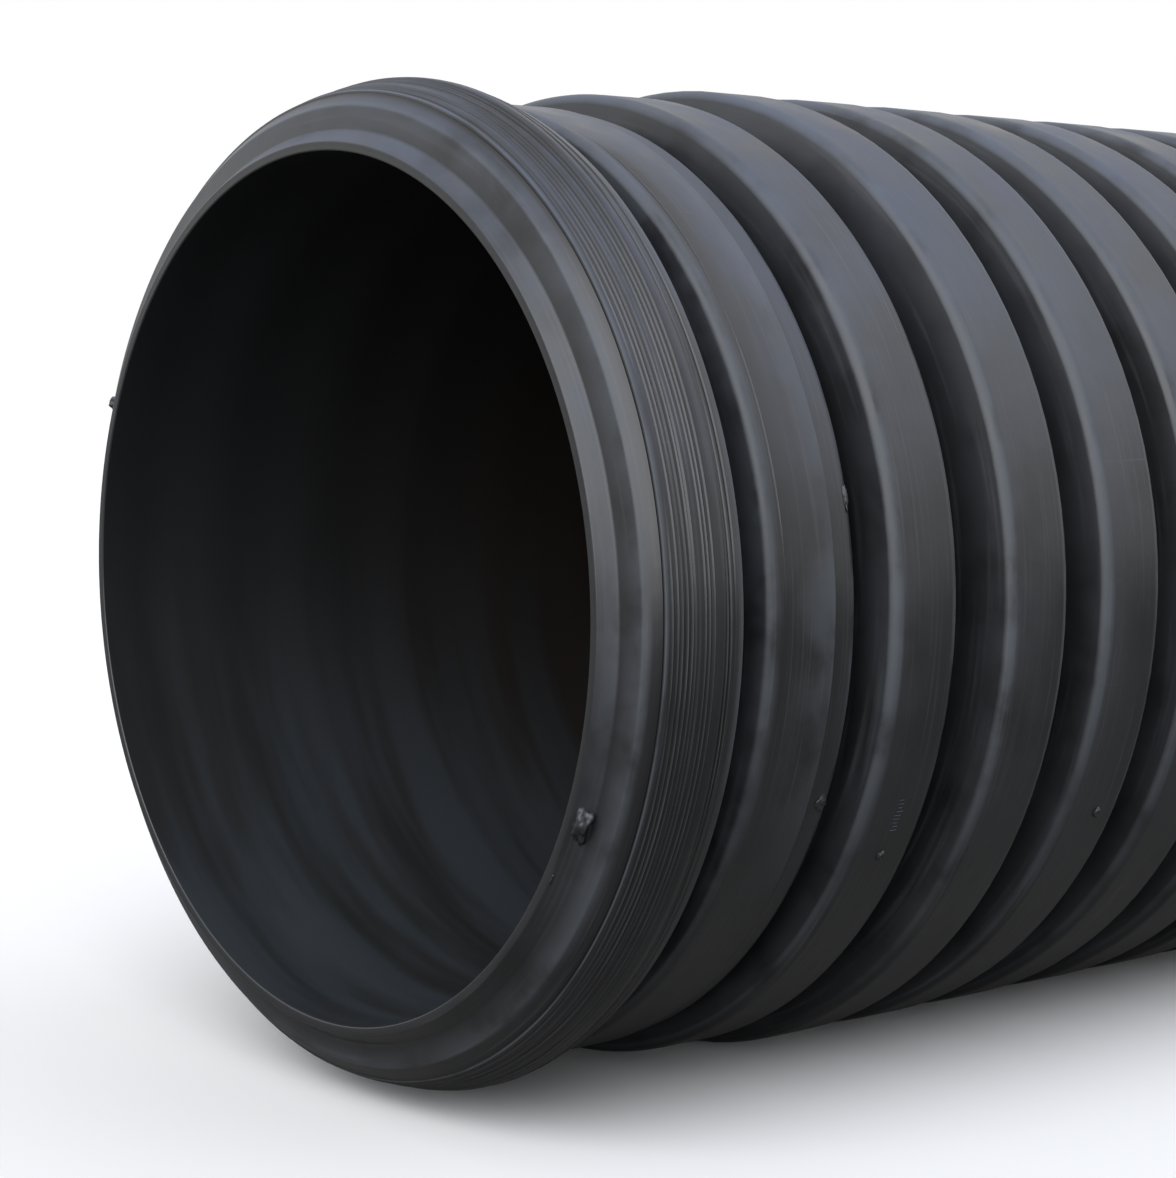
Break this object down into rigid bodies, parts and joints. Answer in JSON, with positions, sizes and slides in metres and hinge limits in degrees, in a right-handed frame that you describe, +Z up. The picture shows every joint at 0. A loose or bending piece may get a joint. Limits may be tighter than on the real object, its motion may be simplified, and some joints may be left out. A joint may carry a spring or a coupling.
{
  "type": "corrugated culvert pipe",
  "caption": "Straight length of twin-wall corrugated plastic culvert pipe with ring-shaped corrugations, a smooth bore and a moulded spigot end.",
  "frame": {"origin": "centre of the pipe's mouth, on the axis of the bore at the front face of the spigot's lip", "axes": "+X along the axis from the spigot into the pipe; +Z up as the pipe lies on the ground"},
  "size_m": [3, 0.7209, 0.7208],
  "materials": {
    "polyethylene": "black extruded polyethylene, satin"
  },
  "bodies": {
    "root": {"culvert_pipe": "polyethylene"}
  },
  "joints": []
}
